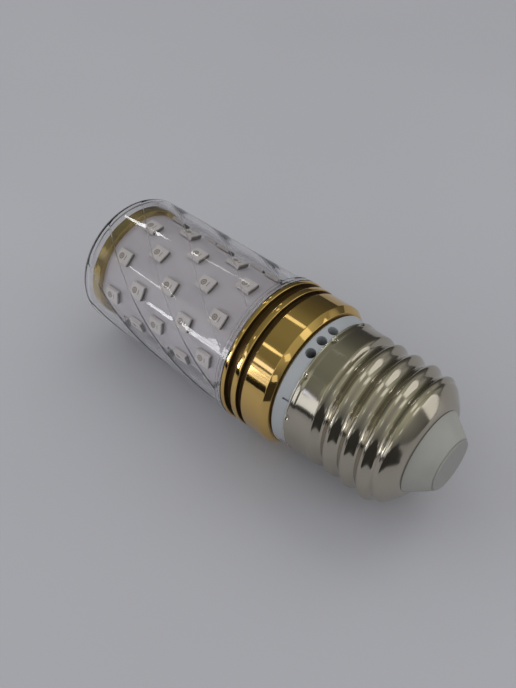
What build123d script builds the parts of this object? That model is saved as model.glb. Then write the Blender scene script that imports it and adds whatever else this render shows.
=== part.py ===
from build123d import *
import os
from math import cos, sin, radians

os.makedirs("parts", exist_ok=True)

# Screw-base ultraviolet lamp, about 30 mm across and 83 mm long.
# It stands on its flat head: Z runs up the lamp's axis to the centre contact,
# and the origin is the centre of the head's flat face. Sizes are in millimetres.

# Clear shade
shade_r = 14.5
shade_wall = 1.2
head_thickness = 1.2
head_corner = 2.9
lip_z = 41.1
lip_step = 0.6
lip_thickness = 1.55
spigot_step = 1.4
spigot_wall = 1.0
spigot_length = 3.8
groove_count = 10
groove_width = 1.6
groove_depth = 0.2
groove_lead = 131.4
groove_phase = 0.5

# Gold ring
ring_length = 10.85
first_rib_length = 0.9
first_gap_length = 1.55
second_rib_step = 0.15
second_rib_length = 1.25
second_gap_length = 1.2
ring_gap_depth = 1.2
band_step = 0.3
band_edge_step = 0.95
band_edge_length = 1.1
band_edge_round = 0.3
rib_edge = 0.25

# White driver housing
collar_gap = 0.3
collar_length = 3.15
collar_edge = 0.3
skirt_seat_length = 2.9
plug_step = 0.5
plug_length = 5.8
housing_wall = 1.1
neck_clearance = 0.35
neck_gap = 2.4
vent_r = 0.95
vent_drop = 1.4
vent_pitch_angle = 13.1
vents_in_group = 3
vent_groups = 3
vent_group_angle = -115.5
slot_width = 0.4
slot_length = 1.5
slot_depth = 0.5
slot_angle = -62.0
slide_fit = 0.05

# Screw shell
thread_crest_r = 13.2
thread_depth = 1.2
thread_pitch = 3.629
thread_length = 16.1
thread_run_out = 1.5
thread_phase = -272.0
steps_per_turn = 10
skirt_step = 0.05
skirt_wall = 0.4
skirt_length = 3.15
rim_bulge = 0.12
rim_length = 0.9
rim_fade = 0.5
shoulder_step = 1.1
tip_length = 2.55
tip_step = 3.2
tip_round = 1.0
tip_land = 0.55
tip_ledge = 0.9
punch_count = 10
punch_angle = -49.3
punch_r = 0.6
punch_depth = 0.2
punch_rise = 0.55

# Insulator and centre contact
insulator_length = 4.0
insulator_margin = 0.3
insulator_plug_length = 3.0
contact_r = 5.0
contact_thickness = 0.35
contact_edge = 0.1
stem_r = 1.0
stem_length = 9.0

# Light engine
board_clearance = 1.75
board_wall = 0.6
board_seam = 0.8
board_seam_angle = 95.0
core_cap_z = 2.95
core_cap_clearance = 0.65
core_cap_length = 2.25
core_cap_wall = 1.2
core_cap_floor = 1.0
core_plug_length = 2.5
lamps_per_row = 9
row_count = 5
first_row_rise = 3.8
row_pitch = 6.65
row_angle = -85.3
lamp_length = 3.5
lamp_width = 2.8
lamp_height = 0.75
lamp_solder = 0.05
window_r = 0.75
window_depth = 0.2
window_offset = 0.55
lamp_notch = 0.5

# Driver
pcb_margin = 0.5
pcb_thickness = 1.2
pcb_start = 2.9
pcb_end_gap = 2.8
film_width = 9.5
film_height = 10.5
film_depth = 4.6
film_gap = 0.1
film_rise = 1.6
film_edge = 0.5
can_r = 3.15
can_height = 9.0
can_rise = 10.0
can_gap = 0.25
can_edge = 0.6
bridge_width = 4.7
bridge_height = 3.9
bridge_depth = 1.6
bridge_rise = 3.5
leg_width = 0.6
leg_reach = 0.8
leg_thickness = 0.25
resistor_r = 1.1
resistor_length = 6.0
resistor_gap = 0.2
resistor_lead_r = 0.3
fuse_rise = 15.0
bleed_rise = 5.2
part_offset = 4.4
wire_r = 0.55
wire_reach = 3.2
wire_tail = 0.3
wire_spacing = 1.8
lead_spacing = 2.6
lead_angle = 30.0
lead_drop = 4.5

# Stations along the axis
ring_z = lip_z + lip_thickness
collar_z = ring_z + ring_length
shell_z = collar_z + collar_length
thread_z = shell_z + skirt_length
shoulder_z = thread_z + thread_length
tip_z = shoulder_z + tip_length
contact_z = tip_z + insulator_length
top_z = contact_z + contact_thickness
plug_z = collar_z - plug_length
neck_end_z = shoulder_z - neck_gap
core_cap_top = core_cap_z + core_cap_length
first_row_z = core_cap_top + first_row_rise

# Radii that follow the shade, from the lip to the white collar
shade_inner_r = shade_r - shade_wall
lip_r = shade_r + lip_step
spigot_r = shade_r - spigot_step
rib_r = lip_r
second_rib_r = rib_r - second_rib_step
ring_gap_r = rib_r - ring_gap_depth
band_r = rib_r - band_step
band_edge_r = band_r - band_edge_step
plug_r = spigot_r - plug_step
board_r = shade_inner_r - board_clearance
core_cap_r = shade_inner_r - core_cap_clearance

# Radii that follow the thread, from the skirt to the housing's bore
skirt_r = thread_crest_r + skirt_step
shoulder_r = thread_crest_r - shoulder_step
tip_r = shoulder_r - tip_step
cone_foot_r = tip_r - tip_land
tip_hole_r = cone_foot_r - tip_ledge
insulator_end_r = contact_r + insulator_margin
collar_r = (band_edge_r + skirt_r) / 2
neck_r = thread_crest_r - thread_depth - skirt_wall - neck_clearance
housing_bore_r = neck_r - housing_wall


def turned(*points):
    """Solid turned about Z from the (radius, height) corners of its section."""
    return revolve(make_face(Plane.XZ * Polyline(*points, close=True)), Axis.Z)


def circle_at(solid, radius, z):
    """The solid's circular edges of one radius at one height."""
    rims = solid.edges().filter_by(GeomType.CIRCLE)
    return rims.filter_by(lambda e: abs(e.radius - radius) < 0.01 and abs(e.center().Z - z) < 0.01)


def outward(angle, radius, z):
    """Place on a circle about Z whose local Z points outward and local X up the lamp."""
    a = radians(angle)
    spot = (radius * cos(a), radius * sin(a), z)
    return Plane(origin=spot, x_dir=(0, 0, 1), z_dir=(cos(a), sin(a), 0)).location


def save(shape, name):
    """Write one piece to its own file."""
    shape.label = name
    export_step(shape, "parts/" + name + ".step")


# Clear shade: a moulded cup with a flat head, a lip, and a spigot that the gold ring holds.
# Shallow helical grooves run round its wall from the head's rounded corner to the lip.
# Each is steep on one side and fades into the wall on the other.
spigot_top = ring_z + spigot_length
spigot_inner_r = spigot_r - spigot_wall
cup = turned((0, 0), (shade_r, 0), (shade_r, lip_z), (0, lip_z))
cup = fillet(circle_at(cup, shade_r, 0), head_corner)
groove_fall = groove_depth - groove_width**2 / (2 * shade_r)
groove_mouth = 2 * groove_depth
notch_reach = groove_width * groove_mouth / groove_fall
notch = Polygon((0, 0), (groove_mouth, 0), (groove_mouth, -notch_reach), align=None)
grooved = Circle(shade_r)
for i in range(groove_count):
    grooved -= Rot(0, 0, groove_phase + 360 * i / groove_count) * Pos(shade_r - groove_depth, 0) * notch
groove_turn = 360 * lip_z / groove_lead
twisted = Solid.extrude_linear_with_rotation(grooved.face().outer_wire(), (0, 0, 0), (0, 0, lip_z), groove_turn)
cup = cup & twisted
hollow = turned((0, head_thickness), (shade_inner_r, head_thickness), (shade_inner_r, lip_z), (0, lip_z))
hollow = fillet(circle_at(hollow, shade_inner_r, head_thickness), head_corner - min(shade_wall, head_thickness))
lip = turned(
    (spigot_inner_r, lip_z),
    (lip_r, lip_z),
    (lip_r, ring_z),
    (spigot_r, ring_z),
    (spigot_r, spigot_top),
    (spigot_inner_r, spigot_top),
)
shade = cup - hollow + lip
save(shade, "shade")

# Gold ring: two thin ribs with deep gaps beside them, then a wide band whose far edge turns in.
# It is bored in two steps, for the shade's spigot and for the housing's plug.
first_gap_z = ring_z + first_rib_length
second_rib_z = first_gap_z + first_gap_length
second_gap_z = second_rib_z + second_rib_length
band_z = second_gap_z + second_gap_length
spigot_bore_r = spigot_r + slide_fit
plug_bore_r = plug_r + slide_fit
bore_step_z = spigot_top + rib_edge
ring = turned(
    (spigot_bore_r, ring_z),
    (rib_r - rib_edge, ring_z),
    (rib_r, ring_z + rib_edge),
    (rib_r, first_gap_z - rib_edge),
    (rib_r - rib_edge, first_gap_z),
    (ring_gap_r, first_gap_z),
    (ring_gap_r, second_rib_z),
    (second_rib_r - rib_edge, second_rib_z),
    (second_rib_r, second_rib_z + rib_edge),
    (second_rib_r, second_gap_z - rib_edge),
    (second_rib_r - rib_edge, second_gap_z),
    (ring_gap_r, second_gap_z),
    (ring_gap_r, band_z),
    (band_r - rib_edge, band_z),
    (band_r, band_z + rib_edge),
    (band_r, collar_z - band_edge_length),
    (band_edge_r, collar_z),
    (plug_bore_r, collar_z),
    (plug_bore_r, bore_step_z),
    (spigot_bore_r, bore_step_z),
)
ring = fillet(circle_at(ring, band_r, collar_z - band_edge_length), band_edge_round)
save(ring, "gold_ring")

# White driver housing: a plug inside the gold ring, a tapered collar with vent holes and
# a narrow slot, a seat that the screw shell slides over, and a long neck inside the thread.
# A small step keeps a shadow gap between the collar and the gold ring.
skirt_seat_r = skirt_r - skirt_wall - slide_fit
skirt_seat_z = shell_z + skirt_seat_length
housing = turned(
    (housing_bore_r, plug_z),
    (plug_r, plug_z),
    (plug_r, collar_z + collar_gap),
    (collar_r - collar_edge, collar_z + collar_gap),
    (collar_r, collar_z + collar_gap + collar_edge),
    (skirt_r - skirt_wall / 2, shell_z),
    (skirt_seat_r, shell_z),
    (skirt_seat_r, skirt_seat_z),
    (neck_r, skirt_seat_z),
    (neck_r, neck_end_z),
    (housing_bore_r, neck_end_z),
)
vent_z = shell_z - vent_drop
vent_reach = max(collar_r, skirt_r) - housing_bore_r + 2
for group in range(vent_groups):
    for i in range(vents_in_group):
        step = (i - (vents_in_group - 1) / 2) * vent_pitch_angle
        angle = vent_group_angle + 360 * group / vent_groups + step
        housing -= outward(angle, housing_bore_r - 1, vent_z) * extrude(Circle(vent_r), vent_reach)
slot_foot_r = collar_r - collar_edge - slot_depth
slot_z = shell_z - slot_length / 2
housing -= outward(slot_angle, slot_foot_r, slot_z) * extrude(Rectangle(slot_length, slot_width), vent_reach)
save(housing, "base_housing")

# Screw shell: thin rolled metal. Each level section of its thread is a circle whose centre
# goes round the axis once per pitch, which gives the lamp thread its round crests and roots.
# Its shoulder is a cone with a rounded edge and a narrow flat land round the insulator.
thread_mean_r = thread_crest_r - thread_depth / 2


def smooth(t):
    t = min(1, max(0, t))
    return t * t * (3 - 2 * t)


def thread_circle(z, inset):
    """Level section of the thread at one height, inset by the wall for the inside."""
    after_start = smooth((z - thread_z) / thread_run_out)
    before_end = smooth((shoulder_z - z) / thread_run_out)
    offset = thread_depth / 2 * after_start * before_end
    r = thread_mean_r + (skirt_r - thread_mean_r) * (1 - after_start)
    r += (shoulder_r - thread_mean_r) * (1 - before_end)
    a = radians(thread_phase + 360 * (z - thread_z) / thread_pitch)
    return Wire(Edge.make_circle(r - inset, Plane(origin=(offset * cos(a), offset * sin(a), z))))


levels = round(thread_length / thread_pitch * steps_per_turn)
heights = [thread_z + thread_length * i / levels for i in range(levels + 1)]
tip_inner_r = shoulder_r - skirt_wall
rim_r = skirt_r + rim_bulge
rim_z = shell_z + rim_length
rim_edge = rim_bulge / 2
shell = turned(
    (0, shell_z),
    (rim_r - rim_edge, shell_z),
    (rim_r, shell_z + rim_edge),
    (rim_r, rim_z),
    (skirt_r, rim_z + rim_fade),
    (skirt_r, thread_z),
    (0, thread_z),
)
shell += Solid.make_loft([thread_circle(z, 0) for z in heights])
tip = turned((0, shoulder_z), (shoulder_r, shoulder_z), (tip_r, tip_z), (0, tip_z))
shell += fillet(circle_at(tip, tip_r, tip_z), tip_round)
inside = turned((0, shell_z), (skirt_r - skirt_wall, shell_z), (skirt_r - skirt_wall, thread_z), (0, thread_z))
inside += Solid.make_loft([thread_circle(z, skirt_wall) for z in heights])
inside += turned(
    (0, shoulder_z),
    (tip_inner_r, shoulder_z),
    (tip_r - skirt_wall, tip_z - skirt_wall),
    (0, tip_z - skirt_wall),
)
shell -= inside
shell -= turned((0, tip_z - 2 * skirt_wall), (tip_hole_r, tip_z - 2 * skirt_wall), (tip_hole_r, tip_z), (0, tip_z))
for i in range(punch_count):
    depth_r = rim_r - punch_depth + punch_r
    shell -= outward(punch_angle + 360 * i / punch_count, depth_r, shell_z + punch_rise) * Sphere(punch_r)
save(shell, "screw_shell")

# Insulator: a pale cone on the shell's end, with a plug through its hole.
stem_bore_r = stem_r + slide_fit
plug_foot_z = tip_z - insulator_plug_length
insulator = turned(
    (stem_bore_r, plug_foot_z),
    (tip_hole_r - slide_fit, plug_foot_z),
    (tip_hole_r - slide_fit, tip_z),
    (cone_foot_r - slide_fit, tip_z),
    (insulator_end_r, contact_z),
    (stem_bore_r, contact_z),
)
save(insulator, "insulator")

# Centre contact: a flat disc on the insulator with a stem down its bore.
stem_end_z = contact_z - stem_length
contact = turned(
    (0, stem_end_z),
    (stem_r, stem_end_z),
    (stem_r, contact_z),
    (contact_r, contact_z),
    (contact_r, top_z - contact_edge),
    (contact_r - contact_edge, top_z),
    (0, top_z),
)
save(contact, "centre_contact")

# Lamp board: a thin board rolled into a tube with a seam at the back.
board_inner_r = board_r - board_wall
board_length = plug_z - core_cap_top
board = turned((board_inner_r, core_cap_top), (board_r, core_cap_top), (board_r, plug_z), (board_inner_r, plug_z))
seam = Pos(board_r, 0, core_cap_top + board_length / 2) * Box(4 * board_wall, board_seam, board_length)
board -= Rot(0, 0, board_seam_angle) * seam
save(board, "lamp_board")

# Core cap: the plated cup that closes the board's tube at the head.
core_plug_r = board_inner_r - slide_fit
core_plug_top = core_cap_top + core_plug_length
core_cap = turned(
    (0, core_cap_z),
    (core_cap_r - rib_edge, core_cap_z),
    (core_cap_r, core_cap_z + rib_edge),
    (core_cap_r, core_cap_top - rib_edge),
    (core_cap_r - rib_edge, core_cap_top),
    (core_plug_r, core_cap_top),
    (core_plug_r, core_plug_top),
    (core_plug_r - core_cap_wall, core_plug_top),
    (core_plug_r - core_cap_wall, core_cap_z + core_cap_floor),
    (0, core_cap_z + core_cap_floor),
)
save(core_cap, "core_cap")

# Ultraviolet lamps: rows of small packages round the board, each row turned by half a step.
# Each has a round window toward the head and a cut corner that marks its polarity.
lamp = Pos(0, 0, lamp_height / 2) * Box(lamp_length, lamp_width, lamp_height)
corner = Pos(lamp_length / 2, lamp_width / 2, lamp_height / 2) * Rot(0, 0, 45)
lamp -= corner * Box(lamp_notch, 2 * lamp_notch, lamp_height)
window_z = lamp_height - window_depth
lamp -= Pos(-window_offset, 0, window_z + window_depth / 2) * Cylinder(window_r, window_depth)
for row in range(row_count):
    z = first_row_z + row * row_pitch
    shift = row_angle + (row % 2) * 180 / lamps_per_row
    lamps = [outward(shift + 360 * i / lamps_per_row, board_r + lamp_solder, z) * lamp for i in range(lamps_per_row)]
    save(Compound(children=lamps), "lamp_row_" + str(row + 1))

# Driver board: a flat board that stands on edge in the housing's bore, parts on its +Y face.
face_y = pcb_thickness / 2
pcb_width = 2 * (housing_bore_r - pcb_margin)
pcb_z = plug_z + pcb_start
pcb_top = neck_end_z - pcb_end_gap
pcb_length = pcb_top - pcb_z
driver_board = Pos(0, 0, pcb_z + pcb_length / 2) * Box(pcb_width, pcb_thickness, pcb_length)
save(driver_board, "driver_board")

# Film capacitor that drops the mains voltage, on the board's back.
film_y = -face_y - film_gap - film_depth / 2
film_z = pcb_z + film_rise + film_height / 2
film = Box(film_width, film_depth, film_height)
film = fillet(film.edges().filter_by(Axis.Y), film_edge)
film_leg = Box(leg_width, film_gap, leg_width)
film = Pos(0, film_y, film_z) * film
for side in (-1, 1):
    film += Pos(side * film_width / 4, -face_y - film_gap / 2, film_z) * film_leg
save(film, "dropper_capacitor")

# Smoothing capacitor: an aluminium can that lies along the board on two short legs.
can_y = face_y + can_gap + can_r
can_z = pcb_z + can_rise
can = Pos(part_offset, can_y, can_z + can_height / 2) * Cylinder(can_r, can_height)
can = fillet(circle_at(can, can_r, can_z + can_height), can_edge)
for rise in (can_height / 4, can_height * 3 / 4):
    leg = Box(leg_width, can_gap + can_r, leg_width)
    can += Pos(part_offset, face_y + (can_gap + can_r) / 2, can_z + rise) * leg
save(can, "smoothing_capacitor")

# Bridge rectifier: a flat moulded body with four bent legs soldered to the board.
bridge_z = pcb_z + bridge_rise + bridge_height / 2
bridge = Pos(0, leg_thickness + bridge_depth / 2, 0) * Box(bridge_width, bridge_depth, bridge_height)
bridge = chamfer(bridge.edges().group_by(Axis.Y)[-1], leg_thickness)
foot_length = bridge_width / 2 + leg_reach
for side in (-1, 1):
    for end in (-1, 1):
        foot = Box(foot_length, leg_thickness, leg_width)
        bridge += Pos(side * foot_length / 2, leg_thickness / 2, end * bridge_height / 4) * foot
save(Pos(-part_offset, face_y, bridge_z) * bridge, "bridge_rectifier")


def resistor(x, z):
    """Axial resistor lying along the board, its two leads bent down to it."""
    axis_y = face_y + resistor_gap + resistor_r
    wire_length = resistor_length + 2 * leg_reach
    piece = Pos(x, axis_y, z) * Cylinder(resistor_r, resistor_length)
    piece = fillet(piece.edges().filter_by(GeomType.CIRCLE), resistor_r / 3)
    piece += Pos(x, axis_y, z) * Cylinder(resistor_lead_r, wire_length)
    for end in (-1, 1):
        bend = z + end * (wire_length / 2 - resistor_lead_r)
        leg = Rot(90, 0, 0) * Cylinder(resistor_lead_r, axis_y - face_y)
        piece += Pos(x, (axis_y + face_y) / 2, bend) * leg
        piece += Pos(x, axis_y, bend) * Sphere(resistor_lead_r)
    return piece


save(resistor(-part_offset, pcb_z + fuse_rise), "fuse_resistor")
save(resistor(part_offset, pcb_z + bleed_rise), "bleed_resistor")


def wire(start, start_way, end, end_way):
    """Insulated wire of round section that leaves and arrives in the given directions."""
    path = Spline(start, end, tangents=(start_way, end_way))
    return sweep(Plane(origin=start, z_dir=start_way) * Circle(wire_r), path=path)


# Wires: from the centre contact's stem and from the shell's shoulder to the board,
# and two leads from the board to the lamp board's inner wall.
wire_y = face_y + wire_r + slide_fit
solder_z = pcb_top - wire_tail
live = wire((0, 0, stem_end_z), (0, 0, -1), (0, wire_y, solder_z), (0, 0, -1))
save(live, "live_wire")
shell_end = (-tip_inner_r + skirt_wall + 2 * wire_r, 0, plug_foot_z - wire_r - 2 * slide_fit)
neutral = wire((-wire_spacing, wire_y, solder_z), (0, 0, 1), shell_end, (-1, 0, 0))
save(neutral, "neutral_wire")
lead_r = board_inner_r - wire_r - slide_fit
lead_end_z = plug_z - lead_drop
for name, side in (("plus", 1), ("minus", -1)):
    a = radians(90 - side * lead_angle)
    lead_start = (side * lead_spacing / 2, wire_y, pcb_z + wire_reach)
    lead_end = (lead_r * cos(a), lead_r * sin(a), lead_end_z)
    save(wire(lead_start, (0, 0, -1), lead_end, (0, 0, -1)), "lamp_lead_" + name)
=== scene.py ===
import math

import bmesh
import bpy
from mathutils import Matrix, Vector


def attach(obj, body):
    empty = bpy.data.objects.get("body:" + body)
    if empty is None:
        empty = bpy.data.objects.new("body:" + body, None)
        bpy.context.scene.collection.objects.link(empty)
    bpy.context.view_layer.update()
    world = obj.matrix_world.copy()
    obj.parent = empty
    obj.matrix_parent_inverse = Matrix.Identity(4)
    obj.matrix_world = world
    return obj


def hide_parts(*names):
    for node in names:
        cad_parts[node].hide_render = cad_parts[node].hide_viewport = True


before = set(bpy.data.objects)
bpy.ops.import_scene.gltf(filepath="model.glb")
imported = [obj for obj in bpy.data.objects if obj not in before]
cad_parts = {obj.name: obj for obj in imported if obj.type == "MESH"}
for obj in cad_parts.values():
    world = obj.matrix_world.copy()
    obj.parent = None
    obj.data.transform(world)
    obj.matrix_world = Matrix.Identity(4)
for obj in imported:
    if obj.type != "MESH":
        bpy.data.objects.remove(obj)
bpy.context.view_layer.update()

# Clear shade: a cup moulded in clear plastic, with a flat head and a rounded corner.
# Ten shallow grooves wind round its wall, each with one steep frosted side that is also tinted grey as painted shade,
# and one that fades out, and a lip closes it against the gold ring.
mm = 0.001  # sizes are written in millimetres
shade_r = 14.5
shade_inner_r = 13.3
head_corner = 2.9
inner_corner = 1.7
head_wall = 1.2
lip_r = 15.1
lip_z = 41.1
ring_z = 42.65
spigot_r = 13.1
spigot_bore_r = 12.1
spigot_top = 46.45
corner_steps = 12
wall_steps = 60
bore_steps = 30
groove_count = 10
groove_lead = 131.4
groove_phase = 0.5
groove_fade_angle = 8.0
groove_steep_angle = 0.8
groove_depth = 0.09
groove_fade_columns = (-1.0, -0.8, -0.6, -0.4, -0.2, -0.08, 0.0)
groove_steep_columns = (0.3, 0.6, 1.0)
plain_columns = 9


def arc(cx, cz, r, start, end, steps):
    """Points of an arc in the section plane, as (radius, height)."""
    points = []
    for i in range(steps + 1):
        a = math.radians(start + (end - start) * i / steps)
        points.append((cx + r * math.cos(a), cz + r * math.sin(a)))
    return points


def new_piece(name, bm, slot, *nodes):
    """Make a mesh piece that rides on the lamp and stands for its solids."""
    bmesh.ops.recalc_face_normals(bm, faces=bm.faces)
    mesh = bpy.data.meshes.new(name)
    bm.to_mesh(mesh)
    bm.free()
    for face in mesh.polygons:
        face.use_smooth = True
    piece = bpy.data.objects.new(name, mesh)
    bpy.context.scene.collection.objects.link(piece)
    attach(piece, "root")
    if nodes:
        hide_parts(*nodes)
    return piece


def groove_cut(angle):
    """Depth of the nearest groove at an angle counted along the winding."""
    pitch = 360 / groove_count
    near = (angle - groove_phase + pitch / 2) % pitch - pitch / 2
    if near > 0:
        return groove_depth * max(0, 1 - near / groove_steep_angle)
    return groove_depth * max(0, 1 + near / groove_fade_angle)


outer = [(0.001, 0.0), (4.0, 0.0), (8.0, 0.0)]
outer += arc(shade_r - head_corner, head_corner, head_corner, -90, 0, corner_steps)
outer += [(shade_r, head_corner + (lip_z - head_corner) * i / wall_steps) for i in range(1, wall_steps + 1)]
rim = [(lip_r - 0.15, lip_z), (lip_r, lip_z + 0.15), (lip_r, ring_z - 0.1), (lip_r - 0.1, ring_z)]
rim += [(spigot_r, ring_z), (spigot_r, spigot_top), (spigot_bore_r, spigot_top), (spigot_bore_r, lip_z)]
inner = [(shade_inner_r, lip_z - (lip_z - head_corner) * i / bore_steps) for i in range(bore_steps + 1)]
inner += arc(shade_inner_r - inner_corner, head_wall + inner_corner, inner_corner, 0, -90, 8)
inner += [(6.0, head_wall), (0.001, head_wall)]

columns = []
for k in range(groove_count):
    centre = 360 * k / groove_count + groove_phase
    for step in groove_fade_columns:
        columns.append(centre + groove_fade_angle * step)
    for step in groove_steep_columns:
        columns.append(centre + groove_steep_angle * step)
    free = 360 / groove_count - groove_fade_angle - groove_steep_angle
    for i in range(plain_columns):
        columns.append(centre + groove_steep_angle + free * (i + 1) / (plain_columns + 1))

bm = bmesh.new()
rows = []
for part, profile in (("wall", outer), ("rim", rim), ("bore", inner)):
    for r, z in profile:
        row = []
        for column in columns:
            twist = 360 * min(z, lip_z) / groove_lead
            if part == "wall" and z < lip_z - 0.01:
                rr = min(r, shade_r - groove_cut(column))
            else:
                rr = r
            a = math.radians(column + twist)
            row.append(bm.verts.new((rr * mm * math.cos(a), rr * mm * math.sin(a), z * mm)))
        rows.append(row)
count = len(columns)
bed = len(groove_fade_columns) - 1
steep_side = range(bed, bed + len(groove_steep_columns))
# Faces on each groove's steep side take the second material: frosted, and tinted grey as painted shade.
for level, (low, high) in enumerate(zip(rows, rows[1:])):
    for i in range(count):
        j = (i + 1) % count
        face = bm.faces.new((low[i], low[j], high[j], high[i]))
        if corner_steps < level < len(outer) - 2 and i % (count // groove_count) in steep_side:
            face.material_index = 1
bm.faces.new(rows[0])
bm.faces.new(rows[-1])
shade = new_piece("clear_shade", bm, "shade", "shade")
shade.data.set_sharp_from_angle(angle=math.radians(22))

clear = bpy.data.materials.new("clear_moulded_plastic")
clear.use_nodes = True
nodes = clear.node_tree.nodes
links = clear.node_tree.links
skin = nodes["Principled BSDF"]
skin.inputs["Base Color"].default_value = (0.97, 0.965, 0.975, 1)
skin.inputs["IOR"].default_value = 1.5
skin.inputs["Transmission Weight"].default_value = 1.0
place = nodes.new("ShaderNodeTexCoord")
haze = nodes.new("ShaderNodeTexNoise")
haze.inputs["Scale"].default_value = 220.0
haze.inputs["Detail"].default_value = 3.0
shine = nodes.new("ShaderNodeMapRange")
shine.inputs["To Min"].default_value = 0.02
shine.inputs["To Max"].default_value = 0.05
flow = nodes.new("ShaderNodeTexNoise")
flow.inputs["Scale"].default_value = 90.0
flow.inputs["Detail"].default_value = 0.0
bump = nodes.new("ShaderNodeBump")
bump.inputs["Strength"].default_value = 0.02
bump.inputs["Distance"].default_value = 0.0005
links.new(place.outputs["Object"], haze.inputs["Vector"])
links.new(haze.outputs["Fac"], shine.inputs["Value"])
links.new(shine.outputs["Result"], skin.inputs["Roughness"])
links.new(place.outputs["Object"], flow.inputs["Vector"])
links.new(flow.outputs["Fac"], bump.inputs["Height"])
links.new(bump.outputs["Normal"], skin.inputs["Normal"])
let_light = nodes.new("ShaderNodeBsdfTransparent")
let_light.inputs["Color"].default_value = (0.93, 0.93, 0.94, 1)
path = nodes.new("ShaderNodeLightPath")
mix = nodes.new("ShaderNodeMixShader")
links.new(path.outputs["Is Shadow Ray"], mix.inputs["Fac"])
links.new(skin.outputs["BSDF"], mix.inputs[1])
links.new(let_light.outputs["BSDF"], mix.inputs[2])
links.new(mix.outputs["Shader"], nodes["Material Output"].inputs["Surface"])
shade.data.materials.append(clear)
# A copy of the clear plastic for the steep groove sides: rougher as frosting, and tinted grey as painted shade so the
# step shows as a dark line.
frosted_and_painted_shade = clear.copy()
frosted_and_painted_shade.name = "frosted_groove_side_painted_shade"
skin = frosted_and_painted_shade.node_tree.nodes["Principled BSDF"]
skin.inputs["Base Color"].default_value = (0.70, 0.69, 0.69, 1)
frosted_and_painted_shade.node_tree.links.remove(skin.inputs["Roughness"].links[0])
skin.inputs["Roughness"].default_value = 0.3
shade.data.materials.append(frosted_and_painted_shade)

# Gold ring: moulded in plastic and plated bright gold. Two thin ribs stand beside deep gaps,
# then a wide plain band whose edge turns in toward the white collar. It is pushed over the
# shade's spigot.
gap_bed_r = 13.9
gap_low_z = 43.5
gap_high_z = 47.6
gap_inner_r = 13.8
gap_outer_r = 14.75


def turn(name, corners, slot, *replaced):
    """Turn a closed section about the lamp's axis. Corners are (radius, height, edge radius)."""
    steps = 256
    section = []
    n = len(corners)
    for i, (r, z, edge) in enumerate(corners):
        if edge <= 0:
            section.append((r, z))
            continue
        here = Vector((r, z))
        before = Vector(corners[i - 1][:2]) - here
        after = Vector(corners[(i + 1) % n][:2]) - here
        half = before.angle(after) / 2
        reach = min(edge / math.tan(half), before.length * 0.49, after.length * 0.49)
        first = here + before.normalized() * reach
        last = here + after.normalized() * reach
        for k in range(6):
            t = k / 5
            p = first * (1 - t) ** 2 + here * 2 * t * (1 - t) + last * t**2
            section.append((p.x, p.y))
    bm = bmesh.new()
    rings = []
    for k in range(steps):
        a = 2 * math.pi * k / steps
        c, s = math.cos(a) * mm, math.sin(a) * mm
        rings.append([bm.verts.new((r * c, r * s, z * mm)) for r, z in section])
    m = len(section)
    for k in range(steps):
        near, far = rings[k], rings[(k + 1) % steps]
        for i in range(m):
            j = (i + 1) % m
            bm.faces.new((near[i], far[i], far[j], near[j]))
    bmesh.ops.remove_doubles(bm, verts=bm.verts, dist=1e-7)
    piece = new_piece(name, bm, slot, *replaced)
    piece.data.set_sharp_from_angle(angle=math.radians(40))
    even = piece.modifiers.new("even_shading", "WEIGHTED_NORMAL")
    even.keep_sharp = True
    return piece


gold_ring = turn(
    "gold_ring",
    [
        (13.15, ring_z, 0),
        (lip_r, ring_z, 0.25),
        (lip_r, 43.55, 0.25),
        (gap_bed_r, 43.55, 0.1),
        (gap_bed_r, 45.1, 0.1),
        (14.95, 45.1, 0.25),
        (14.95, 46.35, 0.25),
        (gap_bed_r, 46.35, 0.1),
        (gap_bed_r, 47.55, 0.1),
        (14.8, 47.55, 0.2),
        (14.8, 52.4, 0.3),
        (13.85, 53.5, 0.12),
        (12.65, 53.5, 0),
        (12.65, 46.7, 0),
        (13.15, 46.7, 0),
    ],
    "gold_ring",
    "gold_ring",
)

gold = bpy.data.materials.new("gold_plate")
gold.use_nodes = True
nodes = gold.node_tree.nodes
links = gold.node_tree.links
skin = nodes["Principled BSDF"]
skin.inputs["Base Color"].default_value = (0.76, 0.51, 0.175, 1)
skin.inputs["Metallic"].default_value = 1.0
skin.inputs["Roughness"].default_value = 0.07
place = nodes.new("ShaderNodeTexCoord")
wave = nodes.new("ShaderNodeTexNoise")
wave.inputs["Scale"].default_value = 260.0
wave.inputs["Detail"].default_value = 1.0
bump = nodes.new("ShaderNodeBump")
bump.inputs["Strength"].default_value = 0.025
bump.inputs["Distance"].default_value = 0.0004
links.new(place.outputs["Object"], wave.inputs["Vector"])
links.new(wave.outputs["Fac"], bump.inputs["Height"])
links.new(bump.outputs["Normal"], skin.inputs["Normal"])
gold_ring.data.materials.append(gold)


def clouded(name, rough, scale, dark, light, span=(0.0, 1.0), detail=2.0, metal=0.0):
    """A finish whose tone wanders softly from dark to light over the piece."""
    finish = bpy.data.materials.new(name)
    finish.use_nodes = True
    nodes = finish.node_tree.nodes
    links = finish.node_tree.links
    skin = nodes["Principled BSDF"]
    skin.inputs["Metallic"].default_value = metal
    skin.inputs["Roughness"].default_value = rough
    place = nodes.new("ShaderNodeTexCoord")
    cloud = nodes.new("ShaderNodeTexNoise")
    cloud.inputs["Scale"].default_value = scale
    cloud.inputs["Detail"].default_value = detail
    tone = nodes.new("ShaderNodeValToRGB")
    for stop, at, colour in zip(tone.color_ramp.elements, span, (dark, light)):
        stop.position = at
        stop.color = (*colour, 1)
    links.new(place.outputs["Object"], cloud.inputs["Vector"])
    links.new(cloud.outputs["Fac"], tone.inputs["Fac"])
    links.new(tone.outputs["Color"], skin.inputs["Base Color"])
    return finish


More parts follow.
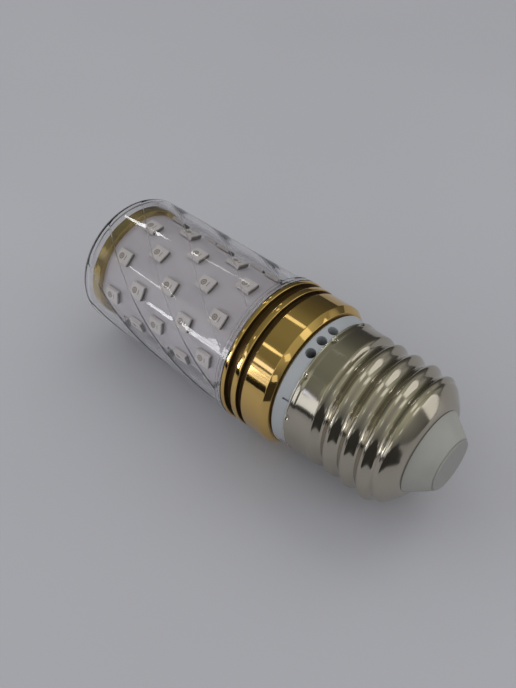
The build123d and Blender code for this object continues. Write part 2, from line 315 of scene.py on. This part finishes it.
# The faces down in the ring's gaps get a near black gold: painted shade in the gaps, on the same plating.
gold_painted_gap_shade = clouded("gold_gaps_painted_shade", 0.3, 600.0, (0.085, 0.052, 0.022), (0.17, 0.11, 0.042), metal=0.9)
gold_ring.data.materials.append(gold_painted_gap_shade)
for face in gold_ring.data.polygons:
    face_r = face.center.xy.length
    if gap_inner_r * mm < face_r < gap_outer_r * mm and gap_low_z * mm < face.center.z < gap_high_z * mm:
        face.material_index = 1

# White collar of the driver housing, moulded in matt white plastic. Three groups of three round
# vent holes go through it beside the shell's skirt, and a small slot is cut in its outside.
# A thin step keeps it off the gold ring, and its neck carries the shell.
shell_z = 56.65
collar_r = 13.55
vent_group_angle = -115.5
vent_step_angle = 13.1
vent_r = 0.95
vent_z = 55.55
slot_angle = -62.0
slot_z = 55.9
slot_size = (1.6, 0.4, 1.5)
collar = turn(
    "vented_collar",
    [
        (10.15, 47.7, 0),
        (12.6, 47.7, 0),
        (12.6, 53.8, 0),
        (13.25, 53.8, 0.1),
        (collar_r, 54.1, 0.1),
        (13.05, shell_z, 0),
        (12.8, shell_z, 0),
        (12.8, 59.5, 0),
        (11.25, 59.5, 0),
        (11.25, 73.5, 0),
        (10.15, 73.5, 0),
    ],
    "base_housing",
    "base_housing",
)
bm = bmesh.new()
for group in range(3):
    for i in (-1, 0, 1):
        a = math.radians(vent_group_angle + 120 * group + vent_step_angle * i)
        out = Vector((math.cos(a), math.sin(a), 0))
        spot = Matrix.Translation(out * 12.0 * mm + Vector((0, 0, vent_z * mm)))
        aim = out.to_track_quat("Z", "Y").to_matrix().to_4x4()
        bmesh.ops.create_cone(
            bm,
            segments=32,
            radius1=vent_r * mm,
            radius2=vent_r * mm,
            depth=6 * mm,
            cap_ends=True,
            matrix=spot @ aim,
        )
a = math.radians(slot_angle)
spot = Matrix.Translation((collar_r * mm * math.cos(a), collar_r * mm * math.sin(a), slot_z * mm))
size = Matrix.Diagonal((*(side * mm for side in slot_size), 1))
bmesh.ops.create_cube(bm, size=1.0, matrix=spot @ Matrix.Rotation(a, 4, "Z") @ size)
punch_mesh = bpy.data.meshes.new("vent_punch")
bm.to_mesh(punch_mesh)
bm.free()
punch = bpy.data.objects.new("vent_punch", punch_mesh)
bpy.context.scene.collection.objects.link(punch)
cut = collar.modifiers.new("vents", "BOOLEAN")
cut.operation = "DIFFERENCE"
cut.solver = "EXACT"
cut.object = punch
drilled = bpy.data.meshes.new_from_object(collar.evaluated_get(bpy.context.evaluated_depsgraph_get()))
collar.modifiers.clear()
collar.data = drilled
collar.data.name = "vented_collar"
bpy.data.objects.remove(punch)

white = clouded("matt_white_plastic", 0.42, 180.0, (0.27, 0.28, 0.285), (0.315, 0.325, 0.33))
nodes = white.node_tree.nodes
links = white.node_tree.links
place = nodes.new("ShaderNodeTexCoord")
grain = nodes.new("ShaderNodeTexNoise")
grain.inputs["Scale"].default_value = 3500.0
bump = nodes.new("ShaderNodeBump")
bump.inputs["Strength"].default_value = 0.12
bump.inputs["Distance"].default_value = 0.0001
links.new(place.outputs["Object"], grain.inputs["Vector"])
links.new(grain.outputs["Fac"], bump.inputs["Height"])
links.new(bump.outputs["Normal"], nodes["Principled BSDF"].inputs["Normal"])
collar.data.materials.clear()
collar.data.materials.append(white)

# Screw shell: thin brass, rolled into a round thread and nickel plated. Its skirt slides over
# the housing and is held by ten punch marks in its rim; its shoulder turns in to the insulator.
# The skirt's rim is given a brighter metal as a painted highlight, and its metal is a little dented.
thread_z = 59.8
skirt_end = 61.2
shoulder_z = 75.9
tip_z = 78.45
thread_pitch = 3.629
thread_phase = -272.0
thread_mean_r = 12.6
thread_swing = 0.6
skirt_r = 13.25
shoulder_r = 12.1
rim_bulge = 0.12
shell_wall = 0.45
skirt_inner_r = 12.87
inside_low_z = 58.9
bead_top_z = shell_z + 0.45
skirt_height = 2.65
skirt_rows = 24
thread_rows = 140
shell_segments = 270
punch_count = 10
punch_angle = -49.3
punch_at_r = 13.5
punch_z = 57.2
punch_reach = 0.75
punch_depth = 0.38


def ease(t):
    """A soft step from 0 to 1."""
    t = min(1.0, max(0.0, t))
    return t * t * (3 - 2 * t)


def shell_row(z):
    """One level ring of the shell: its height and radius, and how far and which way it is off the axis."""
    after = ease((z - skirt_end) / 1.5)
    before = ease((shoulder_z - z) / 1.5)
    r = thread_mean_r + (skirt_r - thread_mean_r) * (1 - after) + (shoulder_r - thread_mean_r) * (1 - before)
    r += rim_bulge * ease((shell_z + 1.5 - z) / 0.6)
    return z, r, thread_swing * after * before, math.radians(thread_phase + 360 * (z - thread_z) / thread_pitch)


outside = []
for r, z in arc(skirt_r + rim_bulge - 0.08, shell_z + 0.2, 0.2, -90, 60, 8):
    outside.append((z, r, 0, 0))
outside += [shell_row(bead_top_z + skirt_height * i / skirt_rows) for i in range(skirt_rows + 1)]
outside += [shell_row(thread_z + (shoulder_z - thread_z) * i / thread_rows) for i in range(thread_rows + 1)]
for r, z in (
    (12.06, 75.98),
    (11.9, 76.2),
    (11.5, 76.58),
    (10.9, 77.09),
    (10.2, 77.65),
    (9.7, 78.02),
    (9.35, 78.24),
    (9.12, 78.35),
    (8.95, 78.41),
    (8.8, 78.44),
    (8.55, tip_z),
    (8.35, tip_z),
):
    outside.append((z, r, 0, 0))
within = [(tip_z, 7.45, 0, 0), (tip_z - 0.4, 7.45, 0, 0), (tip_z - 0.5, 7.9, 0, 0)]
within += [(z - 0.1, r - shell_wall, off, at) for z, r, off, at in reversed(outside[:-7:2]) if z > inside_low_z]
within.append((shell_z, skirt_inner_r, 0, 0))

bm = bmesh.new()
rows = []
for z, r, off, at in outside + within:
    cx, cy = off * math.cos(at), off * math.sin(at)
    row = []
    for k in range(shell_segments):
        a = 2 * math.pi * k / shell_segments
        x, y = cx + r * math.cos(a), cy + r * math.sin(a)
        row.append(bm.verts.new((x * mm, y * mm, z * mm)))
    rows.append(row)
for low, high in zip(rows, rows[1:] + rows[:1]):
    for i in range(shell_segments):
        j = (i + 1) % shell_segments
        bm.faces.new((low[i], low[j], high[j], high[i]))
rim_verts = [v for v in bm.verts if v.co.z < (shell_z + 1.4) * mm and v.co.xy.length > 13.2 * mm]
for k in range(punch_count):
    a = math.radians(punch_angle + 360 / punch_count * k)
    spot = Vector((punch_at_r * mm * math.cos(a), punch_at_r * mm * math.sin(a), punch_z * mm))
    for v in rim_verts:
        gap = (v.co - spot).length / mm
        if gap < punch_reach:
            v.co -= Vector((math.cos(a), math.sin(a), 0)) * punch_depth * mm * ease(1 - gap / punch_reach)
shell = new_piece("screw_shell", bm, "screw_shell", "screw_shell")
shell.data.set_sharp_from_angle(angle=math.radians(50))

nickel = bpy.data.materials.new("nickel_plate")
nickel.use_nodes = True
nodes = nickel.node_tree.nodes
links = nickel.node_tree.links
skin = nodes["Principled BSDF"]
skin.inputs["Base Color"].default_value = (0.50, 0.46, 0.38, 1)
skin.inputs["Metallic"].default_value = 1.0
place = nodes.new("ShaderNodeTexCoord")
blur = nodes.new("ShaderNodeTexNoise")
blur.inputs["Scale"].default_value = 300.0
blur.inputs["Detail"].default_value = 3.0
shine = nodes.new("ShaderNodeMapRange")
shine.inputs["To Min"].default_value = 0.10
shine.inputs["To Max"].default_value = 0.15
rub = nodes.new("ShaderNodeMapping")
rub.inputs["Scale"].default_value = (60, 60, 2600)
lines = nodes.new("ShaderNodeTexNoise")
lines.inputs["Scale"].default_value = 4.0
lines.inputs["Detail"].default_value = 4.0
bump = nodes.new("ShaderNodeBump")
bump.inputs["Strength"].default_value = 0.012
bump.inputs["Distance"].default_value = 0.0002
links.new(place.outputs["Object"], blur.inputs["Vector"])
links.new(blur.outputs["Fac"], shine.inputs["Value"])
links.new(shine.outputs["Result"], skin.inputs["Roughness"])
dents = nodes.new("ShaderNodeTexNoise")
dents.inputs["Scale"].default_value = 130.0
dents.inputs["Detail"].default_value = 1.0
press = nodes.new("ShaderNodeBump")
press.inputs["Strength"].default_value = 0.3
press.inputs["Distance"].default_value = 0.0004
links.new(place.outputs["Object"], dents.inputs["Vector"])
links.new(dents.outputs["Fac"], press.inputs["Height"])
links.new(press.outputs["Normal"], bump.inputs["Normal"])
links.new(place.outputs["Object"], rub.inputs["Vector"])
links.new(rub.outputs["Vector"], lines.inputs["Vector"])
links.new(lines.outputs["Fac"], bump.inputs["Height"])
links.new(bump.outputs["Normal"], skin.inputs["Normal"])
shell.data.materials.append(nickel)
# The faces on the skirt's rim get a brighter, whiter metal than the nickel: a painted highlight along the rim.
rim_painted_highlight = clouded("rim_painted_highlight_metal", 0.28, 420.0, (0.55, 0.52, 0.46), (0.95, 0.92, 0.86), (0.4, 0.6), metal=1.0)
shell.data.materials.append(rim_painted_highlight)
for face in shell.data.polygons:
    if face.center.z < (shell_z + 0.3) * mm and face.center.xy.length > 13.0 * mm:
        face.material_index = 1

# Insulator: an off-white cone that closes the shell's end. It is moulded in a satin plastic, a
# little uneven in tone. Its plug is pressed into the shell, and its bore takes the contact's stem.
cone_end_z = 82.45
insulator = turn(
    "insulator_cone",
    [
        (1.05, 75.45, 0),
        (7.4, 75.45, 0),
        (7.4, tip_z, 0),
        (8.3, tip_z, 0.12),
        (5.3, cone_end_z, 0.3),
        (1.05, cone_end_z, 0),
    ],
    "insulator",
    "insulator",
)
pale = clouded("off_white_insulator", 0.38, 240.0, (0.245, 0.24, 0.215), (0.30, 0.295, 0.265), detail=4.0)
insulator.data.materials.append(pale)

# Centre contact: a dull metal disc, stamped flat and a little scuffed, on the cone's end.
# Its stem is pushed down the cone's bore to the live wire.
contact_end_z = 82.8
contact = turn(
    "centre_contact",
    [
        (0.0, 73.45, 0),
        (1.0, 73.45, 0.1),
        (1.0, cone_end_z, 0),
        (5.0, cone_end_z, 0),
        (5.0, contact_end_z, 0.1),
        (0.0, contact_end_z, 0),
    ],
    "centre_contact",
    "centre_contact",
)
dull = bpy.data.materials.new("dull_contact_metal")
dull.use_nodes = True
nodes = dull.node_tree.nodes
links = dull.node_tree.links
skin = nodes["Principled BSDF"]
skin.inputs["Base Color"].default_value = (0.35, 0.35, 0.325, 1)
skin.inputs["Metallic"].default_value = 0.5
place = nodes.new("ShaderNodeTexCoord")
scuff = nodes.new("ShaderNodeTexNoise")
scuff.inputs["Scale"].default_value = 900.0
scuff.inputs["Detail"].default_value = 6.0
shine = nodes.new("ShaderNodeMapRange")
shine.inputs["To Min"].default_value = 0.45
shine.inputs["To Max"].default_value = 0.65
bump = nodes.new("ShaderNodeBump")
bump.inputs["Strength"].default_value = 0.2
bump.inputs["Distance"].default_value = 0.0001
links.new(place.outputs["Object"], scuff.inputs["Vector"])
links.new(scuff.outputs["Fac"], shine.inputs["Value"])
links.new(shine.outputs["Result"], skin.inputs["Roughness"])
links.new(scuff.outputs["Fac"], bump.inputs["Height"])
links.new(bump.outputs["Normal"], skin.inputs["Normal"])
contact.data.materials.append(dull)

# Lamp board: a thin board rolled into a tube, with its seam at the back. It carries the lamp
# rows and is coated in pale grey. It stands between the core cap and the driver housing.
board_r = 11.55
board_inner_r = 10.95
board_low_z = 5.2
board_high_z = 47.7
board_segments = 180
seam_angle = 95
seam_width = 3.9
bm = bmesh.new()
rows = []
for r, z in (
    (board_inner_r, board_low_z),
    (board_r, board_low_z),
    (board_r, board_high_z),
    (board_inner_r, board_high_z),
):
    row = []
    for k in range(board_segments + 1):
        a = math.radians(seam_angle + seam_width / 2 + (360 - seam_width) * k / board_segments)
        row.append(bm.verts.new((r * mm * math.cos(a), r * mm * math.sin(a), z * mm)))
    rows.append(row)
for low, high in zip(rows, rows[1:] + rows[:1]):
    for i in range(board_segments):
        bm.faces.new((low[i], low[i + 1], high[i + 1], high[i]))
for end in (0, -1):
    bm.faces.new([row[end] for row in rows])
board = new_piece("lamp_board", bm, "lamp_board", "lamp_board")
board.data.set_sharp_from_angle(angle=math.radians(40))

coat = clouded("pale_board_coat", 0.35, 90.0, (0.485, 0.455, 0.475), (0.575, 0.545, 0.56), detail=3.0)
board.data.materials.append(coat)

# Core cap: a plastic cup, plated in gold, that closes the board's tube inside the head.
# Its plug goes into the tube, and its rim shows through the shade as a gold ring.
core_cap = turn(
    "core_cap",
    [
        (0.0, 2.95, 0),
        (12.65, 2.95, 0.3),
        (12.65, board_low_z, 0.3),
        (10.9, board_low_z, 0),
        (10.9, 7.7, 0),
        (9.7, 7.7, 0),
        (9.7, 3.95, 0),
        (0.0, 3.95, 0),
    ],
    "core_cap",
    "core_cap",
)
cap_gold = clouded(
    "cap_gold", 0.14, 130.0, (0.38, 0.285, 0.105), (0.68, 0.52, 0.23), (0.38, 0.68), detail=3.0, metal=1.0
)
core_cap.data.materials.append(cap_gold)

# Ultraviolet packages: pale moulded blocks, nine to a row, soldered flat on the board in five
# rows that are each turned by half a step. A round amber window with a darker rim lies over
# the die, a small mark lies beside it, and one end of the block is dark.
first_row_z = 9.0
row_step = 6.65
row_angle = -85.3
packages_per_row = 9
package_long = 3.5
package_wide = 2.8
package_high = 0.75
window_offset = 0.55
mark_size = (0.16, 1.0)
dark_end, window, window_rim = 1, 2, 3
package_finishes = [
    clouded(name, rough, 700.0, dark, light)
    for name, rough, dark, light in (
        ("pale_package", 0.45, (0.60, 0.56, 0.53), (0.70, 0.66, 0.63)),
        ("dark_package_end", 0.4, (0.09, 0.08, 0.07), (0.15, 0.13, 0.12)),
        ("amber_window", 0.12, (0.38, 0.33, 0.26), (0.50, 0.45, 0.38)),
        ("window_rim", 0.25, (0.20, 0.175, 0.15), (0.32, 0.28, 0.24)),
    )
]

for row in range(5):
    bm = bmesh.new()
    z = first_row_z + row_step * row
    for i in range(packages_per_row):
        a = math.radians(row_angle + 40 * i + (row % 2) * 20)
        out = Vector((math.cos(a), math.sin(a), 0))
        along = Vector((0, 0, 1))
        across = out.cross(along)
        base = out * (board_r + 0.05) * mm + along * z * mm
        place_block = Matrix((
            (along.x, across.x, out.x, base.x),
            (along.y, across.y, out.y, base.y),
            (along.z, across.z, out.z, base.z),
            (0, 0, 0, 1),
        ))
        lift_block = Matrix.Translation((0, 0, package_high / 2 * mm))
        size = Matrix.Diagonal((package_long * mm, package_wide * mm, package_high * mm, 1))
        body = bmesh.ops.create_cube(bm, size=1.0, matrix=place_block @ lift_block @ size)
        edges = list({e for v in body["verts"] for e in v.link_edges})
        bmesh.ops.bevel(bm, geom=edges, offset=0.1 * mm, segments=2, affect="EDGES")
        for face in bm.faces:
            face.normal_update()
            if face.normal.z > 0.9:
                face.material_index = dark_end
        for disc_r, lift, look in ((0.62, 0.754, window_rim), (0.46, 0.757, window), (0.15, 0.760, window_rim)):
            spot = place_block @ Matrix.Translation((-window_offset * mm, 0, lift * mm))
            disc = bmesh.ops.create_circle(bm, segments=24, radius=disc_r * mm, cap_ends=True, matrix=spot)
            for face in {f for v in disc["verts"] for f in v.link_faces}:
                face.material_index = look
        spot = place_block @ Matrix.Translation((window_offset * mm, 0, 0.754 * mm))
        size = Matrix.Diagonal((mark_size[0] * mm, mark_size[1] * mm, 1, 1))
        mark = bmesh.ops.create_grid(bm, x_segments=1, y_segments=1, size=0.5, matrix=spot @ size)
        for face in {f for v in mark["verts"] for f in v.link_faces}:
            face.material_index = window_rim
    name = "lamp_row_%d" % (row + 1)
    lamps = new_piece(name, bm, name, name)
    for finish in package_finishes:
        lamps.data.materials.append(finish)
    lamps.data.set_sharp_from_angle(angle=math.radians(40))

# Driver inside the housing: a green board with its parts, and the insulated wires.
# They keep their solids and only get their finishes.
finishes = {
    "driver_board": (0.35, (0.03, 0.15, 0.07), (0.05, 0.21, 0.10)),
    "dropper_capacitor": (0.3, (0.33, 0.05, 0.03), (0.42, 0.08, 0.04)),
    "smoothing_capacitor": (0.3, (0.03, 0.03, 0.04), (0.05, 0.05, 0.06)),
    "bridge_rectifier": (0.5, (0.015, 0.015, 0.015), (0.03, 0.03, 0.03)),
    "fuse_resistor": (0.5, (0.10, 0.17, 0.25), (0.14, 0.22, 0.31)),
    "bleed_resistor": (0.5, (0.44, 0.33, 0.17), (0.52, 0.40, 0.22)),
    "live_wire": (0.4, (0.40, 0.02, 0.015), (0.48, 0.03, 0.02)),
    "neutral_wire": (0.4, (0.012, 0.012, 0.014), (0.02, 0.02, 0.025)),
    "lamp_lead_plus": (0.4, (0.40, 0.02, 0.015), (0.48, 0.03, 0.02)),
    "lamp_lead_minus": (0.4, (0.012, 0.012, 0.014), (0.02, 0.02, 0.025)),
}
for name, (rough, dark, light) in finishes.items():
    finish = clouded(name + "_finish", rough, 500.0, dark, light)
    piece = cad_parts[name]
    if piece.material_slots:
        piece.material_slots[0].material = finish
    else:
        piece.data.materials.append(finish)

# Table: the pale plane that the lamp lies on, touching the shade's lip and its head.
# It is seen from the lamp's side only, so that it hides nothing from behind.
table_drop = 14.4732
table_half_width = 2.0
table_normal = Vector((-0.58176, -0.81322, 0.01519)).normalized()
bm = bmesh.new()
bmesh.ops.create_grid(bm, x_segments=1, y_segments=1, size=table_half_width)
mesh = bpy.data.meshes.new("table")
bm.to_mesh(mesh)
bm.free()
table = bpy.data.objects.new("table", mesh)
bpy.context.scene.collection.objects.link(table)
tilt = table_normal.to_track_quat("Z", "Y").to_matrix().to_4x4()
table.matrix_world = Matrix.Translation(table_normal * -table_drop * mm) @ tilt
top = clouded("pale_table", 0.5, 9.0, (0.34, 0.335, 0.35), (0.38, 0.375, 0.39))
nodes = top.node_tree.nodes
links = top.node_tree.links
see_through = nodes.new("ShaderNodeBsdfTransparent")
side = nodes.new("ShaderNodeNewGeometry")
mix = nodes.new("ShaderNodeMixShader")
links.new(side.outputs["Backfacing"], mix.inputs["Fac"])
links.new(nodes["Principled BSDF"].outputs["BSDF"], mix.inputs[1])
links.new(see_through.outputs["BSDF"], mix.inputs[2])
links.new(mix.outputs["Shader"], nodes["Material Output"].inputs["Surface"])
table.data.materials.append(top)

# Light: an even soft light that gives each colour as it is, and what the plating mirrors:
# a dim room with a tall window on the left, two on the right, and tubes overhead. The clear
# shade shows a plain pale backdrop.
front = Vector((0.70190, -0.49252, 0.51455)).normalized()
right = Vector((-0.41096, 0.31000, 0.85733)).normalized()
world = bpy.data.worlds.new("room")
bpy.context.scene.world = world
world.use_nodes = True
nodes = world.node_tree.nodes
links = world.node_tree.links
even = nodes["Background"]
even.inputs["Color"].default_value = (0.96, 0.985, 1.03, 1)
even.inputs["Strength"].default_value = 0.80
room = nodes.new("ShaderNodeBackground")
way = nodes.new("ShaderNodeTexCoord")
height = nodes.new("ShaderNodeVectorMath")
height.operation = "DOT_PRODUCT"
height.inputs[1].default_value = table_normal
walls = nodes.new("ShaderNodeValToRGB")
walls.color_ramp.elements[0].position = 0.0
walls.color_ramp.elements[0].color = (0.10, 0.10, 0.10, 1)
walls.color_ramp.elements[1].position = 0.97
walls.color_ramp.elements[1].color = (0.26, 0.26, 0.215, 1)
for at, colour in ((0.3, (0.13, 0.13, 0.12, 1)), (0.55, (0.19, 0.19, 0.16, 1)), (0.8, (0.205, 0.21, 0.17, 1))):
    walls.color_ramp.elements.new(at).color = colour
links.new(way.outputs["Generated"], height.inputs[0])
links.new(height.outputs["Value"], walls.inputs["Fac"])
links.new(walls.outputs["Color"], room.inputs["Color"])


def toward(turned, raised):
    """Direction in the room: degrees turned from the camera to the right, and raised above the table."""
    a, b = math.radians(turned), math.radians(raised)
    return (front * math.cos(a) + right * math.sin(a)) * math.cos(b) + table_normal * math.sin(b)


level = None
for turned, raised, core, reach, gain in (
    (175, 15, 15, 45, -0.45),
    (-124, 16, 6, 16, -0.5),
    (118, 12, 4, 13, 1.6),
    (48, 42, 15, 50, 1.2),
    (112, 42, 10, 35, 0.7),
    (-36, 42, 8, 22, 1.6),
    (-72, 22, 3, 11, 2.2),
):
    aim = nodes.new("ShaderNodeVectorMath")
    aim.operation = "DOT_PRODUCT"
    aim.inputs[1].default_value = toward(turned, raised)
    patch = nodes.new("ShaderNodeMapRange")
    patch.interpolation_type = "SMOOTHSTEP"
    patch.inputs["From Min"].default_value = math.cos(math.radians(reach))
    patch.inputs["From Max"].default_value = math.cos(math.radians(core))
    patch.inputs["To Min"].default_value = 0.0
    patch.inputs["To Max"].default_value = gain
    total = nodes.new("ShaderNodeMath")
    total.inputs[1].default_value = 1.0
    links.new(way.outputs["Generated"], aim.inputs[0])
    links.new(aim.outputs["Value"], patch.inputs["Value"])
    links.new(patch.outputs["Result"], total.inputs[0])
    if level:
        links.new(level.outputs["Value"], total.inputs[1])
    level = total
links.new(level.outputs["Value"], room.inputs["Strength"])
backdrop = nodes.new("ShaderNodeBackground")
backdrop.inputs["Color"].default_value = (0.36, 0.36, 0.38, 1)
backdrop.inputs["Strength"].default_value = 1.0
path = nodes.new("ShaderNodeLightPath")
unmirrored = nodes.new("ShaderNodeMath")
unmirrored.operation = "LESS_THAN"
unmirrored.inputs[1].default_value = 0.5
through = nodes.new("ShaderNodeMath")
through.operation = "MULTIPLY"
seen = nodes.new("ShaderNodeMath")
seen.operation = "MAXIMUM"
mirrored = nodes.new("ShaderNodeMixShader")
shown = nodes.new("ShaderNodeMixShader")
links.new(path.outputs["Is Glossy Ray"], mirrored.inputs["Fac"])
links.new(even.outputs["Background"], mirrored.inputs[1])
links.new(room.outputs["Background"], mirrored.inputs[2])
links.new(path.outputs["Is Camera Ray"], seen.inputs[0])
links.new(path.outputs["Glossy Depth"], unmirrored.inputs[0])
links.new(path.outputs["Is Transmission Ray"], through.inputs[0])
links.new(unmirrored.outputs["Value"], through.inputs[1])
links.new(through.outputs["Value"], seen.inputs[1])
links.new(seen.outputs["Value"], shown.inputs["Fac"])
links.new(mirrored.outputs["Shader"], shown.inputs[1])
links.new(backdrop.outputs["Background"], shown.inputs[2])
links.new(shown.outputs["Shader"], nodes["World Output"].inputs["Surface"])

lamp_middle = Vector((0, 0, 0.055))
slat_step = 3.9
edge_step = 4.9


def stand(holder, way, spot):
    """Set a flat thing upright at a spot, facing back along the way."""
    wide = table_normal.cross(way).normalized()
    tall = way.cross(wide)
    holder.matrix_world = Matrix((
        (wide.x, tall.x, way.x, spot.x),
        (wide.y, tall.y, way.y, spot.y),
        (wide.z, tall.z, way.z, spot.z),
        (0, 0, 0, 1),
    ))


def panel(name, left_end, right_end, low, high, glow, tint=(1, 1, 1), mirrored=True):
    """A lit panel 1.5 m away that fills a span of directions. Glow is its brightness."""
    away = 1.5
    way = toward((left_end + right_end) / 2, (low + high) / 2)
    lamp = bpy.data.lights.new(name, "AREA")
    lamp.shape = "RECTANGLE"
    lamp.size = 2 * away * math.tan(math.radians(right_end - left_end) / 2) * math.cos(math.radians((low + high) / 2))
    lamp.size_y = 2 * away * math.tan(math.radians(high - low) / 2)
    lamp.color = tint
    lamp.energy = glow * math.pi * lamp.size * lamp.size_y
    holder = bpy.data.objects.new(name, lamp)
    bpy.context.scene.collection.objects.link(holder)
    holder.visible_camera = False
    holder.visible_glossy = mirrored
    holder.visible_transmission = False
    stand(holder, way, lamp_middle + way * away)


panel("soft_top", 115, 165, 38, 72, 1.3, (1, 0.995, 0.97), mirrored=False)
panel("soft_left", -115, -65, 5, 50, 1.15, (0.94, 0.98, 1), mirrored=False)
panel("window_top_bar", -66, -57.6, 20.5, 25.5, 1.25, (0.9, 0.95, 1.35))
for step in range(4):
    low = 2.4 + slat_step * step
    panel("window_slat_%d" % step, -64, -57.6, low, low + 3.5, 0.95, (0.95, 0.97, 1.2))
panel("window_pane", -57.4, -36, 1.5, 24, 1.1, (0.97, 1, 1.05))
panel("low_strip", -69.5, -64.7, -1.6, 4.4, 9.0)
panel("low_strip_top", -67.2, -64.7, 4.4, 7.0, 9.0)
for step in range(3):
    low = -0.8 + edge_step * step
    panel("window_edge_%d" % step, -64.7, -60.8, low, low + 4.4, 7.0)
panel("right_window", 66, 84, 30, 58, 0.6)
panel("right_low_window", 85, 110, 1, 29, 0.85)
panel("back_glow", -144, -134, 12, 22, 0.6)
panel("front_glow", 16, 22, 2, 12, 0.7)
panel("front_high_glow", 33, 41, 25, 33, 0.6)
panel("front_left_glow", -22, -12, 4, 34, 1.1)
panel("tube", -151, -143, 55.5, 59.5, 1.0)
panel("bright_tube", -144.5, -136, 43.0, 45.0, 12.0)
panel("far_tube", -156.5, -150.5, 44.9, 46.4, 4.0)
panel("left_tube", -76, -71, 42, 45.5, 1.3)
panel("left_high_strip", -80, -74, 26.3, 27.3, 9.0)

# Dark cards: matt boards that stand upright on the table, beside the lamp and out of the
# picture. Only the plating mirrors them, as the dark bands that lie low in it.
card_clearance = 0.0005
for name, turned, start, away, wide, tall, grey in (
    ("front_card", 10, 0.070, 0.050, 0.056, 0.0262, 0.06),
    ("shoulder_card", 36.5, 0.077, 0.091, 0.017, 0.0155, 0.008),
    ("left_card", -58, 0.055, 0.165, 0.22, 0.023, 0.012),
):
    card_paint = bpy.data.materials.new(name + "_paint")
    card_paint.use_nodes = True
    paint = card_paint.node_tree.nodes["Principled BSDF"]
    paint.inputs["Base Color"].default_value = (grey, grey * 0.95, grey * 0.88, 1)
    paint.inputs["Specular IOR Level"].default_value = 0.0
    bm = bmesh.new()
    bmesh.ops.create_grid(bm, x_segments=1, y_segments=1, size=0.5, matrix=Matrix.Diagonal((wide, tall, 1, 1)))
    mesh = bpy.data.meshes.new(name)
    bm.to_mesh(mesh)
    bm.free()
    card = bpy.data.objects.new(name, mesh)
    bpy.context.scene.collection.objects.link(card)
    way = toward(turned, 0)
    foot = Vector((0, 0, start)) + way * away
    foot -= table_normal * (foot.dot(table_normal) + table_drop * mm - tall / 2 - card_clearance)
    stand(card, way, foot)
    card.visible_camera = False
    card.visible_diffuse = False
    card.visible_shadow = False
    card.visible_transmission = False
    card.data.materials.append(card_paint)

# Camera: where the photograph was taken from, about 0.15 m from the lamp's middle, looking
# down on it from the screw end. It is rolled, so that the lamp lies aslant in the picture.
eye = bpy.data.cameras.new("camera")
eye.lens = 40.81
eye.sensor_width = 36.0
eye.clip_start = 0.005
camera = bpy.data.objects.new("camera", eye)
bpy.context.scene.collection.objects.link(camera)
camera.matrix_world = Matrix((
    (-0.552033, -0.833822, 0.0, 0.000841),
    (0.408490, -0.270441, -0.871778, -0.133517),
    (0.726908, -0.481251, 0.489901, 0.113682),
    (0, 0, 0, 1),
))
bpy.context.scene.camera = camera
bpy.context.scene.view_settings.view_transform = "Standard"
